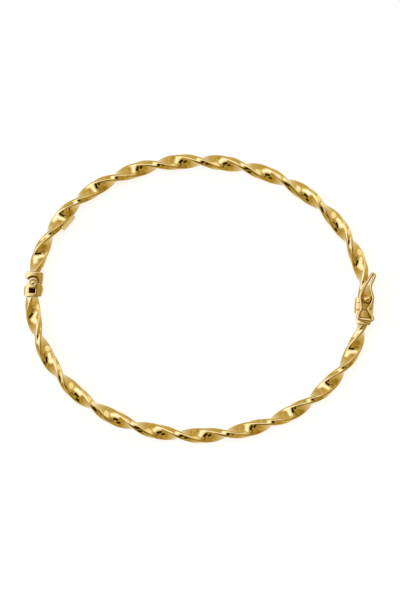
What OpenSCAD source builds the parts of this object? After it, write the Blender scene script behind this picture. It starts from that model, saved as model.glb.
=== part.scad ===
// Hinged oval bangle: one twisted rectangular band in two halves, a pin hinge and a box clasp.
// It lies on its side. The oval is level, +X points to the clasp and +Z is up.
// The origin is the middle of the oval, on the surface that the bangle lies on.
// Places along the band are arc lengths, anticlockwise from the oval's right-hand end.

/* [Oval] */
// Half the long axis, to the middle of the band
oval_a = 31.6; // [30:0.1:33]
// Half the short axis, to the middle of the band
oval_b = 26.05; // [25:0.05:27]
// How much fuller than an ellipse the four shoulders are
oval_fullness = 0.0056; // [0:0.0004:0.012]
// How much further out than an ellipse's the right-hand end is, and how much further in the left-hand end
oval_egg = 0.0032; // [0:0.0004:0.006]
// Angle from the X axis to the long axis
oval_turn = -0.95; // [-2:0.05:2]

/* [Band] */
// Width of the band's section
band_w = 2.79; // [2.5:0.01:2.85]
// Thickness of the band's section
band_t = 1.44; // [1.1:0.01:1.5]
// Radius of the section's corners
band_corner = 0.39; // [0.25:0.01:0.5]
// Length of half a turn of the upper band's twist
upper_pitch = 8.36; // [8:0.01:8.8]
// Length of half a turn of the lower band's twist
lower_pitch = 8.64; // [8.3:0.01:9]
// First place where the upper band stands on edge
upper_edge = 3.66; // [2:0.01:5]
// First place where the lower band stands on edge
lower_edge = 98.92; // [97:0.01:101]
// Greatest angle by which the lower band's twist falls behind on its right-hand side
lower_lag = 11; // [0:1:20]

/* [Blocks] */
// Height of the hinge and clasp blocks
block_h = 2.9; // [2.9:0.05:3.2]
// Place where the upper hinge block meets its band
upper_hinge_end = 86.45; // [86.2:0.05:86.7]
// Place where the lower hinge block meets its band
lower_hinge_end = 91.2; // [91:0.1:91.6]
// Place where the upper clasp block meets its band
upper_clasp_end = 0.8; // [0.7:0.1:1.2]
// Place where the clasp box's neck meets its band
lower_clasp_end = 177.6; // [177:0.1:177.8]
// Gap left at a soldered face
solder_gap = 0.02; // [0.01:0.01:0.05]

/* [Hinge] */
// Radius of the hinge pin
pin_r = 0.5; // [0.4:0.01:0.52]
// Radius of the ears' and the knuckle's round ends
knuckle_r = 0.98; // [0.9:0.01:1.1]
// Radius of the sockets round the ears and the knuckle
socket_r = 1.28; // [1.2:0.01:1.3]
// Height of each ear
ear_h = 0.9; // [0.8:0.01:1]
// Clearance of the pin in the knuckle, and between knuckle and ears
running_gap = 0.05; // [0.03:0.01:0.08]
// How far the bangle opens
open_angle = 46; // [40:1:50]
// Width of the pocket behind the upper ear
pocket_w = 1.2; // [0.8:0.1:1.3]
// Length of the pocket behind the upper ear
pocket_l = 0.95; // [0.6:0.05:1]
// Depth of the pocket at the ear
pocket_depth = 1.9; // [1:0.1:2]
// Depth of the pocket at its far end, where its sloping floor starts
pocket_lip = 0.5; // [0.3:0.1:1]

/* [Clasp] */
// Length of the tongue from the parting line
tongue_l = 2.1; // [1.5:0.1:2.2]
// Width of the tongue
tongue_w = 1.8; // [1.4:0.1:2]
// Height of the tongue
tongue_h = 1.3; // [0.9:0.1:1.4]
// Clearance round the tongue
tongue_gap = 0.1; // [0.08:0.01:0.15]
// Radius of the ball that the catch goes over
ball_r = 0.75; // [0.6:0.01:0.8]
// Height of the ball's middle over the block
ball_rise = 0.55; // [0.45:0.01:0.6]
// Depth and width of the line across the box
box_line = 0.1; // [0.05:0.01:0.15]

/* [Safety catch] */
// Radius of the catch's wire
wire_r = 0.29; // [0.24:0.01:0.3]
// Radius of the catch's pivot, where the wire runs through the tube
pivot_r = 0.2; // [0.16:0.01:0.2]
// Outer radius of the tube that the catch turns in
tube_r = 0.44; // [0.4:0.01:0.5]
// Length of the tube
tube_l = 1.9; // [1.6:0.1:1.9]
// Clearance of the wire in the tube
tube_gap = 0.05; // [0.03:0.01:0.08]
// Angle by which the closed catch slopes down to its tip
catch_slope = 1; // [0:0.5:1.5]
// Angle between the parting line and the catch's pivot
catch_turn = -4.5; // [-6:0.5:0]
// Length of the catch from its pivot to the middle of its tip bend
catch_l = 8.52; // [8.4:0.02:8.7]
// Radius of the tip bend, to the middle of the wire
tip_r = 0.31; // [0.3:0.01:0.4]

/* [Inner plate] */
// Length of the small plate inside the band
plate_l = 3.4; // [3:0.1:3.6]
// Height of the plate
plate_h = 1.7; // [1.4:0.1:2.2]
// Thickness of the plate
plate_t = 0.3; // [0.3:0.05:0.5]
// Lean of the plate's top towards the band
plate_lean = 21; // [10:1:25]
// Place of the plate's middle
plate_at = 74.8; // [74.5:0.1:75.1]

/* [Hidden] */

gold = "#d9ab3a";
deep_gold = "#b98a2a";
pale_gold = "#e8c565";
$fn = 64;

X = 0;
Y = 1;
Z = 2;
mid_z = block_h / 2;
past = 1;

// The oval's middle line at a parametric angle, and its direction there
function turned(p, angle) = [p[X] * cos(angle) - p[Y] * sin(angle), p[X] * sin(angle) + p[Y] * cos(angle)];
function unit(v) = v / norm(v);
function fullness(t) = 1 + oval_fullness * sin(2 * t) ^ 2 + oval_egg * cos(3 * t);
function fullness_run(t) = 2 * oval_fullness * sin(4 * t) - 3 * oval_egg * sin(3 * t);
function oval_point(t) = turned(fullness(t) * [oval_a * cos(t), oval_b * sin(t)], oval_turn);
function oval_run(t) =
    fullness(t) * [-oval_a * sin(t), oval_b * cos(t)]
    + fullness_run(t) * [oval_a * cos(t), oval_b * sin(t)];
function outward(t) = let(run = unit(turned(oval_run(t), oval_turn))) [run[Y], -run[X]];

// Arc length along the oval against the parametric angle
arc_steps = 720;
oval_ring = [for (i = [0 : arc_steps]) oval_point(360 * i / arc_steps)];
function arc_step(i) = i < arc_steps ? norm(oval_ring[i + 1] - oval_ring[i]) : 0;
arc_table = [for (i = 0, s = 0; i <= arc_steps; s = s + arc_step(i), i = i + 1) [s, 360 * i / arc_steps]];
function angle_at(s) = lookup(s, arc_table);
function band_middle(s) = oval_point(angle_at(s));
function band_outward(s) = outward(angle_at(s));

// Rounded rectangle of the band's section, with points along its flats so that the twist stays true
corner_steps = 2;
flat_steps = 4;
section_core = [band_w / 2 - band_corner, band_t / 2 - band_corner];
corner_signs = [[1, 1], [-1, 1], [-1, -1], [1, -1]];
function on_corner(k, j) =
    [corner_signs[k][X] * section_core[X], corner_signs[k][Y] * section_core[Y]]
    + band_corner * [cos(90 * (k + j / corner_steps)), sin(90 * (k + j / corner_steps))];
function on_flat(k, j) =
    let(from = on_corner(k, corner_steps), to = on_corner((k + 1) % 4, 0))
    from + (to - from) * j / flat_steps;
band_section = [
    for (k = [0 : 3]) each concat(
        [for (j = [0 : corner_steps]) on_corner(k, j)],
        k % 2 == 0 ? [for (j = [1 : flat_steps - 1]) on_flat(k, j)] : []
    )
];

// Twist of each band along its length, where 90 degrees stands it on edge
lag_start = lower_edge + 4 * lower_pitch;
lag_end = lower_edge + 9 * lower_pitch;
function upper_twist(s) = 90 + 180 * (s - upper_edge) / upper_pitch;
function lag_share(s) = sin(180 * min(max((s - lag_start) / (lag_end - lag_start), 0), 1));
function lower_twist(s) = 90 + 180 * (s - lower_edge) / lower_pitch - lower_lag * lag_share(s);

// The upper band's end leans over to the hinge block's end face, which is parallel to the parting line
lean_angle = 7.5;
lean_run = 5;
function lean(s) = lean_angle * max(1 - (upper_hinge_end - s) / lean_run, 0) ^ 2;
function leaning(s) = turned(band_outward(s), lean(s));

function band_ring(s, twist, out) =
    let(middle = band_middle(s))
    [
        for (q = band_section)
            let(across = q[X] * cos(twist) + q[Y] * sin(twist), up = q[Y] * cos(twist) - q[X] * sin(twist))
            [middle[X] + across * out[X], middle[Y] + across * out[Y], mid_z + up]
    ];

// Skin over a row of rings, each of which runs clockwise as seen from the row's end
module skin(rings) {
    n = len(rings[0]);
    last = (len(rings) - 1) * n;
    points = [for (ring = rings) each ring];
    sides = [
        for (i = [0 : len(rings) - 2], j = [0 : n - 1])
            let(a = i * n + j, b = i * n + (j + 1) % n)
            each [[a, b, b + n], [a, b + n, a + n]]
    ];
    first_cap = [for (j = [n - 1 : -1 : 0]) j];
    last_cap = [for (j = [0 : n - 1]) last + j];
    polyhedron(points, concat(sides, [first_cap, last_cap]));
}

// Closed outline with rounded corners, from rows of x, y and corner radius
fillet_steps = 5;
function flat_point(row) = [row[X], row[Y]];
function fillet(before, corner, after) =
    let(
        p = flat_point(corner),
        r = corner[Z],
        to_before = unit(flat_point(before) - p),
        to_after = unit(flat_point(after) - p),
        half = acos(to_before * to_after) / 2,
        middle = p + unit(to_before + to_after) * r / sin(half),
        start = p + to_before * r / tan(half) - middle,
        end = p + to_after * r / tan(half) - middle,
        from = atan2(start[Y], start[X]),
        swing = (atan2(end[Y], end[X]) - from + 540) % 360 - 180
    )
    [for (j = [0 : fillet_steps]) let(a = from + swing * j / fillet_steps) middle + r * [cos(a), sin(a)]];
function rounded(rows) =
    let(n = len(rows))
    [
        for (i = [0 : n - 1]) each
            rows[i][Z] == 0
                ? [flat_point(rows[i])]
                : fillet(rows[(i + n - 1) % n], rows[i], rows[(i + 1) % n])
    ];

// Smooth curve through points
function between(a, b, c, d, u) =
    (2 * b + (c - a) * u + (2 * a - 5 * b + 4 * c - d) * u ^ 2 + (3 * b - a - 3 * c + d) * u ^ 3) / 2;
function smooth(points, steps) =
    let(last = len(points) - 1)
    concat(
        [
            for (i = [0 : last - 1], j = [0 : steps - 1])
                between(points[max(i - 1, 0)], points[i], points[i + 1], points[min(i + 2, last)], j / steps)
        ],
        [points[last]]
    );

// The hinge pin and the clasp's parting face lie on one line, which cuts the bangle in two
pin_angle = 174.6;
pin_outset = 0.03;
seam_angle = 359.15;
seam_outset = -0.07;
pin_at = oval_point(pin_angle) + pin_outset * outward(pin_angle);
seam_at = oval_point(seam_angle) + seam_outset * outward(seam_angle);
parting = seam_at - pin_at;
part_turn = atan2(parting[Y], parting[X]);

// Rows of an outline given from the pin, from the clasp's seam, or across the end of a band
function from_pin(x, y, r) = let(p = pin_at + turned([x, y], part_turn)) [p[X], p[Y], r];
function round_pin(radius, angle, r) = from_pin(radius * cos(angle), radius * sin(angle), r);
function from_seam(x, y, r) = let(p = seam_at + turned([x, y], part_turn)) [p[X], p[Y], r];
function end_corner(s, across, r, out) = let(p = band_middle(s) + across * out) [p[X], p[Y], r];
function square_corner(s, across, r) = end_corner(s, across, r, band_outward(s));
function leaning_corner(s, across, r) = end_corner(s, across, r, leaning(s));

// Children drawn at the pin, at the seam, or at a place of the band with x along its outward side
module at_pin() { translate([pin_at[X], pin_at[Y], 0]) rotate(part_turn) children(); }
module at_seam() { translate([seam_at[X], seam_at[Y], 0]) rotate(part_turn) children(); }
module at_band(s) {
    middle = band_middle(s);
    out = band_outward(s);
    translate([middle[X], middle[Y], mid_z]) rotate(atan2(out[Y], out[X])) children();
}

rings_per_half_turn = 9;
module twisted_band(from, to, twists, pitch, outs) {
    steps = ceil(rings_per_half_turn * (to - from) / pitch);
    skin([for (i = [0 : steps]) let(s = from + (to - from) * i / steps) band_ring(s, twists(s), outs(s))]);
}

module upper_band() {
    color(gold)
        twisted_band(upper_clasp_end + solder_gap, upper_hinge_end - solder_gap,
            function (s) upper_twist(s), upper_pitch, function (s) leaning(s));
}

module lower_band() {
    color(gold)
        twisted_band(lower_hinge_end + solder_gap, lower_clasp_end - solder_gap,
            function (s) lower_twist(s), lower_pitch, function (s) band_outward(s));
}

// Angles round the pin: the closed faces on the inner side, at their inner and outer ends,
// and the stops on the outer side
closed_from = 2;
closed_to = -11.5;
closed_gap = 1.2;
upper_stop = 152;
stop_slack = 2;
lower_stop = upper_stop + open_angle + stop_slack;
ear_step = 0.04;
pin_rise = 0.08;
pocket_from = knuckle_r + 0.04;
pocket_side = [
    [-pocket_from, past],
    [-pocket_from - pocket_l, past],
    [-pocket_from - pocket_l, -pocket_lip],
    [-pocket_from, -pocket_depth],
];
knuckle_low = ear_h + running_gap;
knuckle_top = block_h - ear_h - running_gap;

upper_hinge_outline = rounded([
    round_pin(socket_r, upper_stop, 0),
    from_pin(-1.48, 0.92, 0.35),
    from_pin(-1.42, 2, 0.65),
    leaning_corner(upper_hinge_end, 1.1, 0.2),
    leaning_corner(upper_hinge_end, -1.6, 0.3),
    from_pin(1.93, 1, 1),
    round_pin(1.84, closed_to + closed_gap, 0.2),
    round_pin(socket_r, closed_from + closed_gap, 0),
    from_pin(0, 0, 0),
]);

lower_hinge_outline = rounded([
    round_pin(socket_r, lower_stop, 0),
    from_pin(-1.62, -0.95, 0.45),
    from_pin(-1.62, -2.1, 0.6),
    square_corner(lower_hinge_end, 1.35, 0.3),
    square_corner(lower_hinge_end, -1.7, 0.3),
    from_pin(2.05, -1.2, 0.8),
    round_pin(1.92, closed_to - closed_gap, 0.15),
    round_pin(socket_r, closed_from - closed_gap, 0),
    from_pin(0, 0, 0),
]);

module upper_hinge_block() {
    color(gold) difference() {
        union() {
            linear_extrude(block_h) polygon(upper_hinge_outline);
            translate([0, 0, knuckle_low]) at_pin() cylinder(h = knuckle_top - knuckle_low, r = knuckle_r);
        }
        at_pin() translate([0, 0, -past]) cylinder(h = knuckle_low + past, r = socket_r);
        at_pin() translate([0, 0, knuckle_top]) cylinder(h = block_h, r = socket_r);
        at_pin() translate([0, 0, -past]) cylinder(h = block_h + 2 * past, r = pin_r + running_gap);
    }
}

module lower_hinge_block() {
    color(gold) difference() {
        union() {
            linear_extrude(block_h) polygon(lower_hinge_outline);
            translate([0, 0, ear_step]) at_pin() cylinder(h = block_h, r = knuckle_r);
        }
        at_pin() translate([0, 0, ear_h]) cylinder(h = block_h - 2 * ear_h, r = socket_r);
        at_pin() translate([0, 0, -past]) cylinder(h = block_h + 2 * past, r = pin_r + solder_gap);
        at_pin()
            translate([-pocket_w / 2, 0, block_h])
            rotate([90, 0, 90])
            linear_extrude(pocket_w)
            polygon(pocket_side);
    }
}

module hinge_pin() {
    color(deep_gold) at_pin() translate([0, 0, solder_gap]) cylinder(h = block_h + pin_rise, r = pin_r);
}

// The two faces of the clasp stand this far from the parting line
face_gap = 0.03;

upper_clasp_outline = rounded([
    from_seam(-1.88, face_gap, 0.15),
    from_seam(1.79, face_gap, 0.15),
    square_corner(upper_clasp_end, 1.72, 0.3),
    square_corner(upper_clasp_end, -1.82, 0.3),
]);

module upper_clasp_block() {
    color(gold) linear_extrude(block_h) polygon(upper_clasp_outline);
}

tongue_taper = 0.3;
module clasp_tongue() {
    half = tongue_w / 2;
    outline = [
        [-half, face_gap - solder_gap],
        [-half, tongue_taper - tongue_l],
        [tongue_taper - half, -tongue_l],
        [half - tongue_taper, -tongue_l],
        [half, tongue_taper - tongue_l],
        [half, face_gap - solder_gap],
    ];
    color(deep_gold) at_seam() translate([0, 0, mid_z - tongue_h / 2]) linear_extrude(tongue_h) polygon(outline);
}

ball_at = [0.31, 0.82];
module clasp_ball() {
    color(pale_gold) at_seam() translate([ball_at[X], ball_at[Y], block_h]) difference() {
        translate([0, 0, ball_rise]) sphere(ball_r);
        translate([-2 * ball_r, -2 * ball_r, -2 * ball_r]) cube([4 * ball_r, 4 * ball_r, 2 * ball_r]);
    }
}

box_outline = rounded([
    from_seam(1.7, -face_gap, 0.15),
    from_seam(-1.9, -face_gap, 0.15),
    from_seam(-1.9, -1.9, 0.25),
    from_seam(-1.58, -2.05, 0.1),
    square_corner(lower_clasp_end, -1.12, 0.3),
    square_corner(lower_clasp_end, 1.55, 0.6),
    from_seam(1.45, -2.1, 0.1),
    from_seam(1.7, -1.8, 0.35),
]);
box_line_at = 1.3;

module clasp_box() {
    cavity_w = tongue_w + 2 * tongue_gap;
    cavity_h = tongue_h + 2 * tongue_gap;
    cavity_l = tongue_l + tongue_gap;
    color(gold) difference() {
        linear_extrude(block_h) polygon(box_outline);
        at_seam() translate([-cavity_w / 2, -cavity_l, mid_z - cavity_h / 2]) cube([cavity_w, cavity_l + past, cavity_h]);
        at_seam() translate([-2 * past, -box_line_at, block_h - box_line]) cube([4 * past, box_line, past]);
    }
}

// The catch's own frame: x along its pivot and away from the oval's middle, y to its tip
pivot_at = [0.25, -3.12];
pivot_z = block_h + tube_r;
module at_pivot() {
    at_seam() translate([pivot_at[X], pivot_at[Y], pivot_z]) rotate(catch_turn) children();
}

tube_foot = 0.5;
module catch_tube() {
    color(gold) at_pivot() difference() {
        union() {
            rotate([0, 90, 0]) cylinder(h = tube_l, r = tube_r, center = true);
            translate([-tube_l / 2, -tube_foot / 2, -tube_r]) cube([tube_l, tube_foot, tube_r]);
        }
        rotate([0, 90, 0]) cylinder(h = tube_l + 2 * past, r = pivot_r + tube_gap, center = true);
    }
}

// Shape of the figure of eight: distance from the pivot, place of its middle, half its width
catch_rows = [
    [0.66, -0.07, 1.38],
    [1.27, -0.23, 1.06],
    [2.07, -0.38, 0.68],
    [2.97, -0.3, 0.92],
    [4.07, -0.33, 1.2],
    [5.07, -0.44, 1.0],
    [5.97, -0.48, 0.63],
    [6.87, -0.26, 0.45],
    [7.77, 0.05, 0.4],
];
pivot_left = -1.44;
pivot_right = 1.38;
elbow_r = 0.34;
elbow_steps = 4;
elbow_grip = 0.07;
tip_middle = [0.3, catch_l];
wire_sides = 10;
wire_steps = 3;
tip_steps = 6;

function catch_side(side) = [for (row = catch_rows) [row[1] + side * row[2], row[0]]];
function backwards(points) = [for (i = [len(points) - 1 : -1 : 0]) points[i]];
tip_bend = [for (j = [0 : tip_steps]) let(a = 180 - 180 * j / tip_steps) tip_middle + tip_r * [cos(a), sin(a)]];
inner_bend = [for (j = [1 : tip_steps - 1]) tip_bend[j]];
function elbow(x, side) =
    [
        for (j = [0 : elbow_steps - 1])
            let(a = 90 * j / elbow_steps)
            [x - side * elbow_r * (1 - sin(a)), elbow_r * (1 - cos(a))]
    ];
left_wire = smooth(concat([[pivot_left, elbow_r]], catch_side(-1), [tip_bend[0]]), wire_steps);
right_wire = smooth(concat([[pivot_right, elbow_r]], catch_side(1), [tip_bend[tip_steps]]), wire_steps);
catch_path = concat(
    elbow(pivot_left, -1), left_wire, inner_bend, backwards(right_wire), backwards(elbow(pivot_right, 1))
);

function wire_ring(path, i) =
    let(
        run = unit(path[min(i + 1, len(path) - 1)] - path[max(i - 1, 0)]),
        side = [-run[Y], run[X]]
    )
    [
        for (j = [0 : wire_sides - 1])
            let(a = -360 * j / wire_sides)
            [path[i][X] + wire_r * cos(a) * side[X], path[i][Y] + wire_r * cos(a) * side[Y], wire_r * sin(a)]
    ];

module safety_catch() {
    color(pale_gold) at_pivot() rotate([-catch_slope, 0, 0]) {
        skin([for (i = [0 : len(catch_path) - 1]) wire_ring(catch_path, i)]);
        translate([pivot_left + elbow_r - elbow_grip, 0, 0])
            rotate([0, 90, 0])
            cylinder(h = pivot_right - pivot_left - 2 * (elbow_r - elbow_grip), r = pivot_r);
    }
}

plate_corner = 0.4;
plate_seat = 1.51;
module inner_plate() {
    half_l = plate_l / 2;
    half_h = plate_h / 2;
    outline = rounded([
        [-half_h, -half_l, plate_corner],
        [half_h, -half_l, plate_corner],
        [half_h, half_l, plate_corner],
        [-half_h, half_l, plate_corner],
    ]);
    color(pale_gold) at_band(plate_at) rotate([0, plate_lean, 0])
        translate([-plate_seat, 0, 0]) rotate([0, -90, 0]) linear_extrude(plate_t) polygon(outline);
}

upper_band();
lower_band();
upper_hinge_block();
lower_hinge_block();
hinge_pin();
upper_clasp_block();
clasp_tongue();
clasp_ball();
clasp_box();
catch_tube();
safety_catch();
inner_plate();
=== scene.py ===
"""Looks of the hinged twisted bangle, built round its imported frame.

Metres, with +X at the clasp and +Z up.
"""
import math

import bmesh
import bpy
import numpy as np
from mathutils import Matrix, Vector


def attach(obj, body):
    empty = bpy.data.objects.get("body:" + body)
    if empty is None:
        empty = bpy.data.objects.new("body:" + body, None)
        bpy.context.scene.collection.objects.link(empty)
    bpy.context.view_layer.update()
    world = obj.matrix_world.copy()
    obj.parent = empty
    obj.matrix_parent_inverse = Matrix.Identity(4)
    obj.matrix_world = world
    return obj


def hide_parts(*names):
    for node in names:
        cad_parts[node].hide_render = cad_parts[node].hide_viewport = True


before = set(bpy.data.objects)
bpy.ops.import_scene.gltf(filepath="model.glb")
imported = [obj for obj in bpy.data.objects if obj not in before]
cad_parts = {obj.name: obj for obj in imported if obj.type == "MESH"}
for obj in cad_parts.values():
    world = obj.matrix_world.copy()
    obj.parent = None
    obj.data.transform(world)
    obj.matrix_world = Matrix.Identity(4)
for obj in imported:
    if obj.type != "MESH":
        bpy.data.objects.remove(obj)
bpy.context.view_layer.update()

MM = 0.001
# Top of the blocks, and the level on which the bars twist, in mm
HEIGHT = 2.9
MID = HEIGHT / 2

# -------------------- the oval and the places on it, in mm
OVAL = (31.6, 26.05)
FULLNESS, EGG, OVAL_TURN = 0.0056, 0.0032, math.radians(-0.95)
OVAL_ROWS = 14401
# Arc lengths at which each bar starts and ends, anticlockwise from the oval's right-hand end
UPPER_ENDS = (0.82, 86.43)
LOWER_ENDS = (91.22, 177.58)


def oval_points(t):
    """Middles of the band at the parameters t."""
    k = 1 + FULLNESS * np.sin(2 * t) ** 2 + EGG * np.cos(3 * t)
    p = np.stack([k * OVAL[0] * np.cos(t), k * OVAL[1] * np.sin(t)], axis=-1)
    c, s = math.cos(OVAL_TURN), math.sin(OVAL_TURN)
    return p @ np.array([[c, s], [-s, c]])


# Table of the oval: parameter, middle, arc length and direction outwards
PARAMETERS = np.linspace(0, 2 * math.pi, OVAL_ROWS)
MIDDLES = oval_points(PARAMETERS)
LENGTHS = np.concatenate([[0], np.cumsum(np.linalg.norm(np.diff(MIDDLES, axis=0), axis=1))])
runs = np.gradient(MIDDLES, axis=0)
runs /= np.linalg.norm(runs, axis=1)[:, None]
OUTWARDS = np.stack([runs[:, 1], -runs[:, 0]], axis=-1)


def along(s, table):
    """A row of the oval's table at arc length s."""
    return np.stack([np.interp(s, LENGTHS, table[:, i]) for i in (0, 1)], axis=-1)


def turned(p, angle):
    """A point or direction turned anticlockwise."""
    c, s = math.cos(angle), math.sin(angle)
    return np.array([p[0] * c - p[1] * s, p[0] * s + p[1] * c])


def oval_place(degrees, outset):
    """The place at an angle parameter of the oval, moved outwards by outset."""
    s = np.interp(math.radians(degrees), PARAMETERS, LENGTHS)
    return along(s, MIDDLES) + outset * along(s, OUTWARDS)


PIN = oval_place(174.6, 0.03)
SEAM = oval_place(359.15, -0.07)
# The hinge and clasp blocks are all turned alike, square to the line from the pin to the seam
PART_TURN = math.atan2(SEAM[1] - PIN[1], SEAM[0] - PIN[0])
ACROSS = turned((1, 0), PART_TURN)
ALONG = turned((0, 1), PART_TURN)


# -------------------- meshes
def new_piece(name, verts, faces, body, nodes, material):
    """A mesh object from points in mm, riding on its body and standing for its CAD nodes."""
    mesh = bpy.data.meshes.new(name)
    mesh.from_pydata([tuple(v) for v in np.asarray(verts) * MM], [], faces)
    mesh.validate()
    mesh.update()
    return new_piece_of(name, mesh, body, nodes, material)


def new_piece_of(name, mesh, body, nodes, material):
    """The same from a mesh in metres."""
    piece = bpy.data.objects.new(name, mesh)
    bpy.context.scene.collection.objects.link(piece)
    for face in mesh.polygons:
        face.use_smooth = True
    mesh.materials.clear()
    mesh.materials.append(material)
    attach(piece, body)
    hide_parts(*nodes)
    return piece


def skin(rings):
    """Quads over a row of rings with the same number of points, closed at both ends."""
    n, m = len(rings), len(rings[0])
    faces = [
        (i * m + j, i * m + (j + 1) % m, (i + 1) * m + (j + 1) % m, (i + 1) * m + j)
        for i in range(n - 1)
        for j in range(m)
    ]
    faces.append(tuple(range(m - 1, -1, -1)))
    faces.append(tuple((n - 1) * m + j for j in range(m)))
    return np.concatenate(rings), faces


def lathe(profile, sides=64):
    """Rings of (radius, height) rows about +Z."""
    a = np.linspace(0, 2 * math.pi, sides, endpoint=False)
    return [
        np.stack([r * np.cos(a), r * np.sin(a), np.full(sides, h)], axis=-1)
        for r, h in profile
    ]


# -------------------- the twisted bars
BAR_W, BAR_T, BAR_CORNER = 2.75, 1.42, 0.41
# Length of half a turn, and the first place where the bar stands on edge
UPPER_PITCH, UPPER_EDGE = 8.36, 3.66
LOWER_PITCH, LOWER_EDGE = 8.64, 98.92
# The lower bar's twist falls behind by up to LAG degrees, in the LAG_LAST half turns that follow
# the first LAG_FIRST
LAG, LAG_FIRST, LAG_LAST = 11, 4, 5
# The upper bar's section turns by up to LEAN degrees about +Z in the LEAN_REACH mm before
# LEAN_END, so that it meets its hinge block almost square
LEAN, LEAN_END, LEAN_REACH = 7.5, 86.45, 5


def upper_twist(s):
    """The upper bar's turn about its own length at arc length s."""
    return np.radians(90 + 180 * (s - UPPER_EDGE) / UPPER_PITCH)


def lower_twist(s):
    """The same for the lower bar, with its lag."""
    share = np.clip((s - LOWER_EDGE - LAG_FIRST * LOWER_PITCH) / (LAG_LAST * LOWER_PITCH), 0, 1)
    return np.radians(90 + 180 * (s - LOWER_EDGE) / LOWER_PITCH - LAG * np.sin(math.pi * share))


def upper_lean(s):
    """How far the upper bar's section turns about +Z at arc length s."""
    return np.radians(LEAN) * np.maximum(1 - (LEAN_END - s) / LEAN_REACH, 0) ** 2


def bar_section(corner_steps=8, wide_steps=14, thin_steps=4):
    """The bar's rounded rectangle, anticlockwise, with evenly spread points along its flats."""
    cx, cy = BAR_W / 2 - BAR_CORNER, BAR_T / 2 - BAR_CORNER
    arcs = []
    for k, (sx, sy) in enumerate([(1, 1), (-1, 1), (-1, -1), (1, -1)]):
        a = np.radians(90 * (k + np.arange(corner_steps + 1) / corner_steps))
        x, y = sx * cx + BAR_CORNER * np.cos(a), sy * cy + BAR_CORNER * np.sin(a)
        arcs.append(np.stack([x, y], axis=-1))
    points = []
    for k in range(4):
        points.append(arcs[k])
        steps = wide_steps if k % 2 == 0 else thin_steps
        a, b = arcs[k][-1], arcs[(k + 1) % 4][0]
        points.append(a + (b - a) * (np.arange(1, steps) / steps)[:, None])
    return np.concatenate(points)


def twisted_bar(name, ends, twist, body, node, material, lean=None, step=0.19):
    """One half's bar: its section swept along the oval, with its twist and its lean about +Z."""
    count = int((ends[1] - ends[0]) / step) + 1
    section = bar_section()
    rings = []
    for s in np.linspace(*ends, count):
        middle, out = along(s, MIDDLES), along(s, OUTWARDS)
        if lean is not None:
            out = turned(out, lean(s))
        a = twist(s)
        across = section[:, 0] * math.cos(a) + section[:, 1] * math.sin(a)
        up = section[:, 1] * math.cos(a) - section[:, 0] * math.sin(a)
        x, y = middle[0] + across * out[0], middle[1] + across * out[1]
        rings.append(np.column_stack([x, y, MID + up]))
    verts, faces = skin(rings)
    return new_piece(name, verts, [f[::-1] for f in faces], body, [node], material)


# -------------------- blocks with hand-rounded edges
# A form is a block's middle, the direction across it, half its width, the radius of its long
# edges, how far its top falls from the middle to the edges, and how far it falls over FALL_LENGTH
# to either end.
FALL_LENGTH = 2
HINGE_FORM = (PIN + turned((0.2, 0), PART_TURN), ACROSS, 1.75, 0.5, 0.2, 0.0)
CLASP_FORM = (SEAM + turned((-0.05, 0), PART_TURN), ACROSS, 1.85, 0.6, 0.3, -0.025)
# An engraved line is a point on it, the direction across it, its depth and half its width.
BOX_LINE = (SEAM + turned((0, -1.35), PART_TURN), ALONG, 0.08, 0.12)
# Each of the clasp's two meeting faces comes this much closer to the seam, so that no light of
# the floor shows between them. The shift is whole up to FACE_GAP from the seam, and runs out over
# FACE_REACH behind that.
FACE_SHIFT, FACE_GAP, FACE_REACH = 0.026, 0.03, 0.15
# A meeting face is a point on the seam and the direction from there into its block.
UPPER_FACE, BOX_FACE = (SEAM, ALONG), (SEAM, -ALONG)


def crowned(points, form):
    """The share of its height that a block keeps at points: long edges rolled, top crowned."""
    centre, way, half, radius, crown, fall = form
    x, y = points[:, 0] - centre[0], points[:, 1] - centre[1]
    across = np.abs(x * way[0] + y * way[1])
    beside = y * way[0] - x * way[1]
    past = np.clip(across - (half - radius), 0, radius)
    rolled = radius - np.sqrt(radius**2 - past**2)
    drop = rolled + crown * (across / half) ** 2 + fall * (beside / FALL_LENGTH) ** 2
    return 1 - drop / MID


def softened(node, voxel, rounds, form, line, face):
    """A CAD node's mesh with its edges rounded over, as filing and polishing leave them."""
    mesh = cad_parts[node].data.copy()
    mesh.transform(Matrix.Scale(1 / MM, 4))
    work = bpy.data.objects.new("work", mesh)
    bpy.context.scene.collection.objects.link(work)
    remesh = work.modifiers.new("remesh", "REMESH")
    remesh.mode = "VOXEL"
    remesh.voxel_size = voxel
    smooth = work.modifiers.new("smooth", "SMOOTH")
    smooth.factor = 0.5
    smooth.iterations = rounds
    depsgraph = bpy.context.evaluated_depsgraph_get()
    result = bpy.data.meshes.new_from_object(work.evaluated_get(depsgraph))
    bpy.data.objects.remove(work)
    points, normals = np.empty((2, len(result.vertices), 3), np.float32)
    result.vertices.foreach_get("co", points.ravel())
    result.vertex_normals.foreach_get("vector", normals.ravel())
    if form is not None:
        points[:, 2] = MID + (points[:, 2] - MID) * crowned(points, form)
    if line is not None:
        place, way, depth, half = line
        away = np.abs((points[:, :2] - place) @ way)
        points -= normals * (depth * np.maximum(1 - away / half, 0))[:, None]
    if face is not None:
        place, way = face
        away = (points[:, :2] - place) @ way
        share = np.clip(1 - (away - FACE_GAP) / FACE_REACH, 0, 1)
        points[:, :2] -= FACE_SHIFT * share[:, None] * way
    points[:, 2] = np.maximum(points[:, 2], 0)
    result.vertices.foreach_set("co", points.ravel())
    result.update()
    result.transform(Matrix.Scale(MM, 4))
    return result


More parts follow.
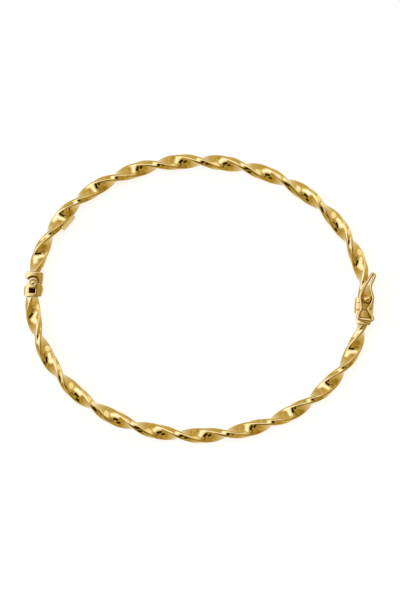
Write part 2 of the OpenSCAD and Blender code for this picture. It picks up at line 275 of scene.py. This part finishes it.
# -------------------- shader nodes
def node_of(tree, kind, inputs=None, **settings):
    """A node with its settings, and its inputs linked to sockets or set to constants."""
    made = tree.nodes.new(kind)
    for key, value in settings.items():
        setattr(made, key, value)
    for key, value in (inputs or {}).items():
        if isinstance(value, bpy.types.NodeSocket):
            tree.links.new(value, made.inputs[key])
        else:
            made.inputs[key].default_value = value
    return made


def spread(tree, value, low, high, to_low, to_high, smooth=False):
    """Value taken from one range to another."""
    return node_of(
        tree, "ShaderNodeMapRange",
        {"Value": value, "From Min": low, "From Max": high, "To Min": to_low, "To Max": to_high},
        interpolation_type="SMOOTHSTEP" if smooth else "LINEAR",
    ).outputs["Result"]


def reckoned(tree, a, b, operation="ADD"):
    """Two numbers added, or put through another operation."""
    return node_of(tree, "ShaderNodeMath", {0: a, 1: b}, operation=operation).outputs[0]


def noise(tree, place, scale, detail, roughness):
    """Cloudy noise from 0 to 1 at a place."""
    return node_of(
        tree, "ShaderNodeTexNoise",
        {"Vector": place, "Scale": scale, "Detail": detail, "Roughness": roughness},
    ).outputs["Fac"]


def layered(tree, under, over, share):
    """One colour laid over another, where share is 1."""
    mix = node_of(tree, "ShaderNodeMix", {"Factor": share}, data_type="RGBA")
    # A Mix node has an A and a B for each data type: inputs 6 and 7 are the colours, output 2 the
    # mixed colour.
    colour_inputs = (mix.inputs[6], mix.inputs[7])
    for socket, value in zip(colour_inputs, (under, over)):
        if isinstance(value, bpy.types.NodeSocket):
            tree.links.new(value, socket)
        else:
            socket.default_value = (*value, 1)
    return mix.outputs[2]


# -------------------- materials
# Places in the materials are in metres, so noise of scale 1000 has features of about 1 mm.
RECESS_REACH = 0.0009
SCRATCH_TILT, SCRATCH_STRETCH = (0.3, 0.2), (14000, 900, 5200)
# Pointiness where the paler gold of worn edges starts, and where it is full
WORN_SPAN = (0.51, 0.6)
# Colour laid into hollows and gaps: partly tarnish, partly painted shade where light does not reach
TARNISH_AND_PAINTED_SHADE = (0.45, 0.20, 0.02)


def polished_gold(name, light, deep, worn, roughness, scratch_turn, recess_tarnish_and_shade=None):
    """Polished gold with drifting colour, hairlines, a soft wave, paler edges, and recesses
    darkened by tarnish and by painted shade.
    """
    material = bpy.data.materials.new(name)
    material.use_nodes = True
    tree = material.node_tree
    tree.nodes.clear()
    place = node_of(tree, "ShaderNodeTexCoord").outputs["Object"]
    stretched = node_of(
        tree, "ShaderNodeMapping",
        {"Vector": place, "Rotation": (*SCRATCH_TILT, scratch_turn), "Scale": SCRATCH_STRETCH},
    ).outputs["Vector"]
    drift = noise(tree, place, 260, 4, 0.55)
    fine = noise(tree, place, 2600, 3, 0.6)
    hair = noise(tree, stretched, 1, 2, 0.5)
    wave = noise(tree, place, 900, 2, 0.4)
    pointiness = node_of(tree, "ShaderNodeNewGeometry").outputs["Pointiness"]
    edge = spread(tree, pointiness, *WORN_SPAN, 0, 1)

    colour = layered(tree, light, deep, spread(tree, drift, 0.35, 0.65, 0, 1))
    colour = layered(tree, colour, worn, edge)
    mottled = spread(tree, fine, 0.3, 0.7, roughness[0], roughness[1])
    rough = reckoned(tree, mottled, spread(tree, hair, 0.55, 0.72, 0, 0.05))
    if recess_tarnish_and_shade is not None:
        # Painted shade: ambient occlusion lays the dark tarnish colour into recesses, gaps and the
        # places near wires and blocks
        openness = node_of(
            tree, "ShaderNodeAmbientOcclusion", {"Distance": RECESS_REACH}, samples=6
        ).outputs["AO"]
        shaded_hollow = spread(tree, openness, 0.25, 0.85, 1, 0, smooth=True)
        colour = layered(tree, colour, recess_tarnish_and_shade, shaded_hollow)
        rough = reckoned(tree, rough, spread(tree, shaded_hollow, 0, 1, 0, 0.4))

    soft_bump = node_of(
        tree, "ShaderNodeBump", {"Height": wave, "Strength": 0.35, "Distance": 0.00002}
    ).outputs["Normal"]
    hair_bump = node_of(
        tree, "ShaderNodeBump",
        {"Height": hair, "Strength": 0.25, "Distance": 0.000002, "Normal": soft_bump},
    ).outputs["Normal"]
    shader = node_of(
        tree, "ShaderNodeBsdfPrincipled",
        {"Base Color": colour, "Metallic": 1.0, "Roughness": rough, "Normal": hair_bump},
    )
    output = node_of(tree, "ShaderNodeOutputMaterial")
    tree.links.new(shader.outputs["BSDF"], output.inputs["Surface"])
    return material


band_gold = polished_gold(
    "band_gold", (0.66, 0.465, 0.155), (0.62, 0.42, 0.12), (0.74, 0.57, 0.28),
    roughness=(0.03, 0.08), scratch_turn=0.6,
)
block_gold = polished_gold(
    "block_gold", (0.66, 0.465, 0.155), (0.61, 0.42, 0.12), (0.74, 0.57, 0.28),
    roughness=(0.08, 0.14), scratch_turn=1.9, recess_tarnish_and_shade=TARNISH_AND_PAINTED_SHADE,
)
wire_gold = polished_gold(
    "wire_gold", (0.66, 0.455, 0.145), (0.60, 0.40, 0.10), (0.72, 0.55, 0.25),
    roughness=(0.07, 0.13), scratch_turn=0.1, recess_tarnish_and_shade=TARNISH_AND_PAINTED_SHADE,
)

# -------------------- the bars
twisted_bar(
    "upper_bar", UPPER_ENDS, upper_twist, "upper_half", "upper_band", band_gold, lean=upper_lean
)
twisted_bar("lower_bar", LOWER_ENDS, lower_twist, "lower_half", "lower_band", band_gold)

# -------------------- hinge, clasp and plate
BLOCKS = [
    # piece, CAD node, body, voxel, rounds of smoothing, form, engraved line, meeting face
    ("upper_hinge_knuckle", "upper_hinge_block", "upper_half", 0.04, 16, HINGE_FORM, None, None),
    ("lower_hinge_ears", "lower_hinge_block", "lower_half", 0.04, 16, HINGE_FORM, None, None),
    ("clasp_face_block", "upper_clasp_block", "upper_half", 0.04, 12, CLASP_FORM, None, UPPER_FACE),
    ("clasp_tongue_blade", "clasp_tongue", "upper_half", 0.04, 4, None, None, None),
    ("clasp_box_shell", "clasp_box", "lower_half", 0.034, 17, CLASP_FORM, BOX_LINE, BOX_FACE),
    ("catch_barrel", "catch_tube", "lower_half", 0.03, 3, None, None, None),
    ("inner_side_plate", "inner_plate", "upper_half", 0.04, 5, None, None, None),
]
for name, node, body, voxel, rounds, form, line, face in BLOCKS:
    mesh = softened(node, voxel, rounds, form, line, face)
    new_piece_of(name, mesh, body, [node], block_gold)

# -------------------- hinge pin, with a domed end inside a fine ring
PIN_R = 0.5
PIN_ROWS = [
    # radius, height
    (0.01, 0.02), (PIN_R - 0.08, 0.02), (PIN_R, 0.1), (PIN_R, 2.88), (PIN_R - 0.03, 2.93),
    (PIN_R - 0.1, 2.945), (PIN_R - 0.14, 2.92), (PIN_R - 0.17, 2.94), (0.25, 2.965), (0.15, 2.975),
    (0.01, 2.98),
]
verts, faces = skin(lathe(PIN_ROWS))
new_piece(
    "hinge_rivet", verts + np.array([PIN[0], PIN[1], 0]), faces,
    "lower_half", ["hinge_pin"], block_gold,
)

# -------------------- ball that the catch goes over
BALL_R, BALL_RISE, BALL_CUT, BALL_STEPS = 0.75, 0.55, 0.7, 24
BALL_PLACE = SEAM + turned((0.31, 0.82), PART_TURN)
# Angles of the ball's lowest ring, BALL_CUT under its middle, and of its highest
BALL_FOOT, BALL_TOP = math.asin(-BALL_CUT / BALL_R), 1.56
ball_rows = [
    (BALL_R * math.cos(a), BALL_RISE + BALL_R * math.sin(a))
    for a in np.linspace(BALL_FOOT, BALL_TOP, BALL_STEPS)
]
verts, faces = skin(lathe(ball_rows))
new_piece(
    "catch_ball", verts + np.array([BALL_PLACE[0], BALL_PLACE[1], HEIGHT]), faces,
    "upper_half", ["clasp_ball"], block_gold,
)

# -------------------- figure-of-eight wire of the safety catch
# Its plane has the pivot along x, and its tip at positive y.
WIRE_R, PIVOT_R, PIVOT_INSET = 0.285, 0.2, 0.27
CATCH_ROWS = [
    # y, middle of the two wires, half the distance between them
    (0.66, -0.07, 1.38), (1.27, -0.23, 1.06), (2.07, -0.38, 0.68), (2.97, -0.3, 0.92),
    (4.07, -0.33, 1.2), (5.07, -0.44, 1.0), (5.97, -0.48, 0.63), (6.87, -0.26, 0.45),
    (7.77, 0.05, 0.4),
]
PIVOT_LEFT, PIVOT_RIGHT, ELBOW_R = -1.44, 1.38, 0.34
TIP, TIP_R, TIP_STEPS = np.array([0.3, 8.52]), 0.31, 17
CURVE_STEPS = 6
PIVOT_PLACE, PIVOT_RISE = SEAM + turned((0.25, -3.12), PART_TURN), 0.44
CATCH_TURN, CATCH_SLOPE = math.radians(-4.5), math.radians(-1)


def smooth_curve(points, steps):
    """A curve through all the points, with steps parts between each two."""
    p = [np.array(q, float) for q in points]
    made = []
    for i in range(len(p) - 1):
        a, b, c, d = p[max(i - 1, 0)], p[i], p[i + 1], p[min(i + 2, len(p) - 1)]
        for u in np.arange(steps) / steps:
            bend, rise = 2 * a - 5 * b + 4 * c - d, 3 * b - a - 3 * c + d
            made.append((2 * b + (c - a) * u + bend * u**2 + rise * u**3) / 2)
    return made + [p[-1]]


def elbow(x, side, steps=8):
    """The quarter bend from the pivot into a side wire."""
    angles = math.pi / 2 * np.arange(steps) / steps
    return [
        np.array([x - side * ELBOW_R * (1 - math.sin(a)), ELBOW_R * (1 - math.cos(a))])
        for a in angles
    ]


def wire(points, radius, sides=20):
    """A round wire along points of the plane z = 0."""
    rings = []
    for i, at in enumerate(points):
        run = points[min(i + 1, len(points) - 1)] - points[max(i - 1, 0)]
        run = run / np.linalg.norm(run)
        a = np.linspace(0, 2 * math.pi, sides, endpoint=False)
        x, y = at[0] - radius * np.cos(a) * run[1], at[1] + radius * np.cos(a) * run[0]
        rings.append(np.column_stack([x, y, radius * np.sin(a)]))
    return skin(rings)


tip = [
    TIP + TIP_R * np.array([math.cos(a), math.sin(a)])
    for a in np.linspace(math.pi, 0, TIP_STEPS)
]
left = [(PIVOT_LEFT, ELBOW_R)] + [(m - h, y) for y, m, h in CATCH_ROWS] + [tip[0]]
right = [(PIVOT_RIGHT, ELBOW_R)] + [(m + h, y) for y, m, h in CATCH_ROWS] + [tip[-1]]
left, right = smooth_curve(left, CURVE_STEPS), smooth_curve(right, CURVE_STEPS)
path = elbow(PIVOT_LEFT, -1) + left + tip[1:-1] + right[::-1] + elbow(PIVOT_RIGHT, 1)[::-1]
pivot_ends = (PIVOT_LEFT + PIVOT_INSET, PIVOT_RIGHT - PIVOT_INSET)

verts, faces = wire(path, WIRE_R)
pivot_verts, pivot_faces = wire([np.array([x, 0.0]) for x in pivot_ends], PIVOT_R)
faces = faces + [tuple(i + len(verts) for i in f) for f in pivot_faces]
verts = np.concatenate([verts, pivot_verts])
to_catch = (
    Matrix.Translation((PIVOT_PLACE[0], PIVOT_PLACE[1], HEIGHT + PIVOT_RISE))
    @ Matrix.Rotation(PART_TURN + CATCH_TURN, 4, "Z")
    @ Matrix.Rotation(CATCH_SLOPE, 4, "X")
)
verts = np.array([to_catch @ Vector(v) for v in verts])
new_piece("catch_wire_eight", verts, faces, "catch", ["safety_catch"], wire_gold)

# -------------------- pale floor
# It gives off its own even light, and its coat takes some of that away at slanting angles.
FLOOR_HALF, FLOOR_CELLS, FLOOR_DROP = 3, 8, 0.00003
FLOOR_LOOK = {
    "Base Color": (0.3, 0.3, 0.3, 1),
    "Roughness": 0.9,
    "Specular IOR Level": 0.0,
    "Coat Weight": 1.0,
    "Coat IOR": 1.1,
    "Coat Roughness": 0.3,
    "Coat Tint": (0.82, 0.79, 0.67, 1),
    "Emission Color": (1.02, 1.05, 1.19, 1),
    "Emission Strength": 1.0,
}
floor_mesh = bpy.data.meshes.new("floor")
floor_shape = bmesh.new()
bmesh.ops.create_grid(
    floor_shape, x_segments=FLOOR_CELLS, y_segments=FLOOR_CELLS, size=FLOOR_HALF
)
floor_shape.to_mesh(floor_mesh)
floor_shape.free()
floor = bpy.data.objects.new("floor", floor_mesh)
floor.location.z = -FLOOR_DROP
bpy.context.scene.collection.objects.link(floor)
floor_white = bpy.data.materials.new("floor_white")
floor_white.use_nodes = True
floor_shader = floor_white.node_tree.nodes["Principled BSDF"]
for key, value in FLOOR_LOOK.items():
    floor_shader.inputs[key].default_value = value
floor_mesh.materials.append(floor_white)

# -------------------- soft studio light all round
# Places in the sky are degrees from straight up, x to the picture's right and y to its top.
LOW_GLOW, HIGH_GLOW, GLOW_SPAN = (0.63, 0.53, 0.21), (0.83, 0.77, 0.50), (-30, 12)
HORIZON, HORIZON_SPAN, HORIZON_WAY = (0.95, 0.87, 0.64), (64, 92), (-0.012, 0.016, 0)
DARK_MOTTLE, PALE_MOTTLE, MOTTLE_SCALE = (0.50, 0.43, 0.12), (1.05, 0.88, 0.60), 0.035
LIGHTS = [
    # centre, tilt, half size inside the rounding, radius of the rounding, half the soft edge,
    # colour, share
    ((54, -40), 0, (9, 12), 14, 14, (0.46, 0.37, 0.11), 1.0),
    ((48, 46), -40, (10, 9), 15, 9, (1.45, 1.60, 2.00), 1.0),
    ((37, 8), 25, (12, 1), 4, 6, (0.42, 0.31, 0.10), 0.8),
    ((-52, 5), -42, (16, 0), 18, 11, (1.86, 2.18, 3.80), 1.0),
    ((-8.5, 16), 28, (16, 2), 10.5, 8, (1.85, 2.16, 3.70), 1.0),
    ((24, -11), 16, (20, 0), 5.5, 4, (0.10, 0.055, 0.008), 0.8),
    ((-7, -18.6), 44, (15, 0), 8, 2, (0.02, 0.01, 0.002), 1.0),
    ((-11, -52), 45, (9, 0), 8.5, 3, (0.04, 0.02, 0.003), 1.0),
]


def vector_of(tree, operation, a, b=(0, 0, 0)):
    """Two vectors put through an operation."""
    return node_of(tree, "ShaderNodeVectorMath", {0: a, 1: b}, operation=operation).outputs


def rounded_patch(tree, plane, centre, tilt, half, radius, soft):
    """1 inside a rounded rectangle of the sky, falling to 0 over its soft edge."""
    at = node_of(
        tree, "ShaderNodeMapping",
        {"Vector": plane, "Location": (*centre, 0), "Rotation": (0, 0, math.radians(tilt))},
        vector_type="TEXTURE",
    ).outputs["Vector"]
    at = vector_of(tree, "ABSOLUTE", at)["Vector"]
    at = vector_of(tree, "SUBTRACT", at, (*half, 0))["Vector"]
    at = vector_of(tree, "MAXIMUM", at)["Vector"]
    away = vector_of(tree, "LENGTH", at)["Value"]
    return spread(tree, away, radius - soft, radius + soft, 1, 0, smooth=True)


world = bpy.data.worlds.new("studio")
bpy.context.scene.world = world
world.use_nodes = True
sky = world.node_tree
sky.nodes.clear()
way = node_of(sky, "ShaderNodeTexCoord").outputs["Generated"]
parts = node_of(sky, "ShaderNodeSeparateXYZ", {"Vector": way}).outputs
level = node_of(sky, "ShaderNodeCombineXYZ", {"X": parts["X"], "Y": parts["Y"]}).outputs["Vector"]
level = vector_of(sky, "NORMALIZE", level)["Vector"]
tilt_up = reckoned(sky, reckoned(sky, parts["Z"], 1.0, "ARCCOSINE"), 180 / math.pi, "MULTIPLY")
plane = node_of(
    sky, "ShaderNodeVectorMath", {0: level, "Scale": tilt_up}, operation="SCALE"
).outputs["Vector"]
plane_y = node_of(sky, "ShaderNodeSeparateXYZ", {"Vector": plane}).outputs["Y"]

glow = layered(sky, LOW_GLOW, HIGH_GLOW, spread(sky, plane_y, *GLOW_SPAN, 0, 1, smooth=True))
# The horizon is brighter towards the picture's upper left.
to_corner = vector_of(sky, "DOT_PRODUCT", plane, HORIZON_WAY)["Value"]
horizon = spread(sky, tilt_up, *HORIZON_SPAN, 0, 1, smooth=True)
corner_share = spread(sky, to_corner, -0.7, 0.8, 0.15, 0.85, smooth=True)
horizon = reckoned(sky, horizon, corner_share, "MULTIPLY")
glow = layered(sky, glow, HORIZON, horizon)
mottle = noise(sky, plane, MOTTLE_SCALE, 1.5, 0.5)
glow = layered(sky, glow, DARK_MOTTLE, spread(sky, mottle, 0.48, 0.34, 0, 0.7))
glow = layered(sky, glow, PALE_MOTTLE, spread(sky, mottle, 0.52, 0.66, 0, 0.8))
for centre, tilt, half, radius, soft, colour, share in LIGHTS:
    patch = rounded_patch(sky, plane, centre, tilt, half, radius, soft)
    glow = layered(sky, glow, colour, reckoned(sky, patch, share, "MULTIPLY"))
background = node_of(sky, "ShaderNodeBackground", {"Color": glow, "Strength": 1.0})
sky_output = node_of(sky, "ShaderNodeOutputWorld")
sky.links.new(background.outputs["Background"], sky_output.inputs["Surface"])
bpy.context.scene.view_settings.view_transform = "Standard"

# -------------------- camera, straight above
CAMERA_PLACE = (0.000361, -0.000304)
CAMERA_RISE = 0.6
PICTURE_HEIGHT = 0.114
SENSOR = 36
camera_data = bpy.data.cameras.new("camera")
camera_data.sensor_width = SENSOR
camera_data.lens = SENSOR * CAMERA_RISE / PICTURE_HEIGHT
camera_data.clip_start, camera_data.clip_end = 0.01, 10
camera = bpy.data.objects.new("camera", camera_data)
camera.location = (*CAMERA_PLACE, MID * MM + CAMERA_RISE)
bpy.context.scene.collection.objects.link(camera)
bpy.context.scene.camera = camera
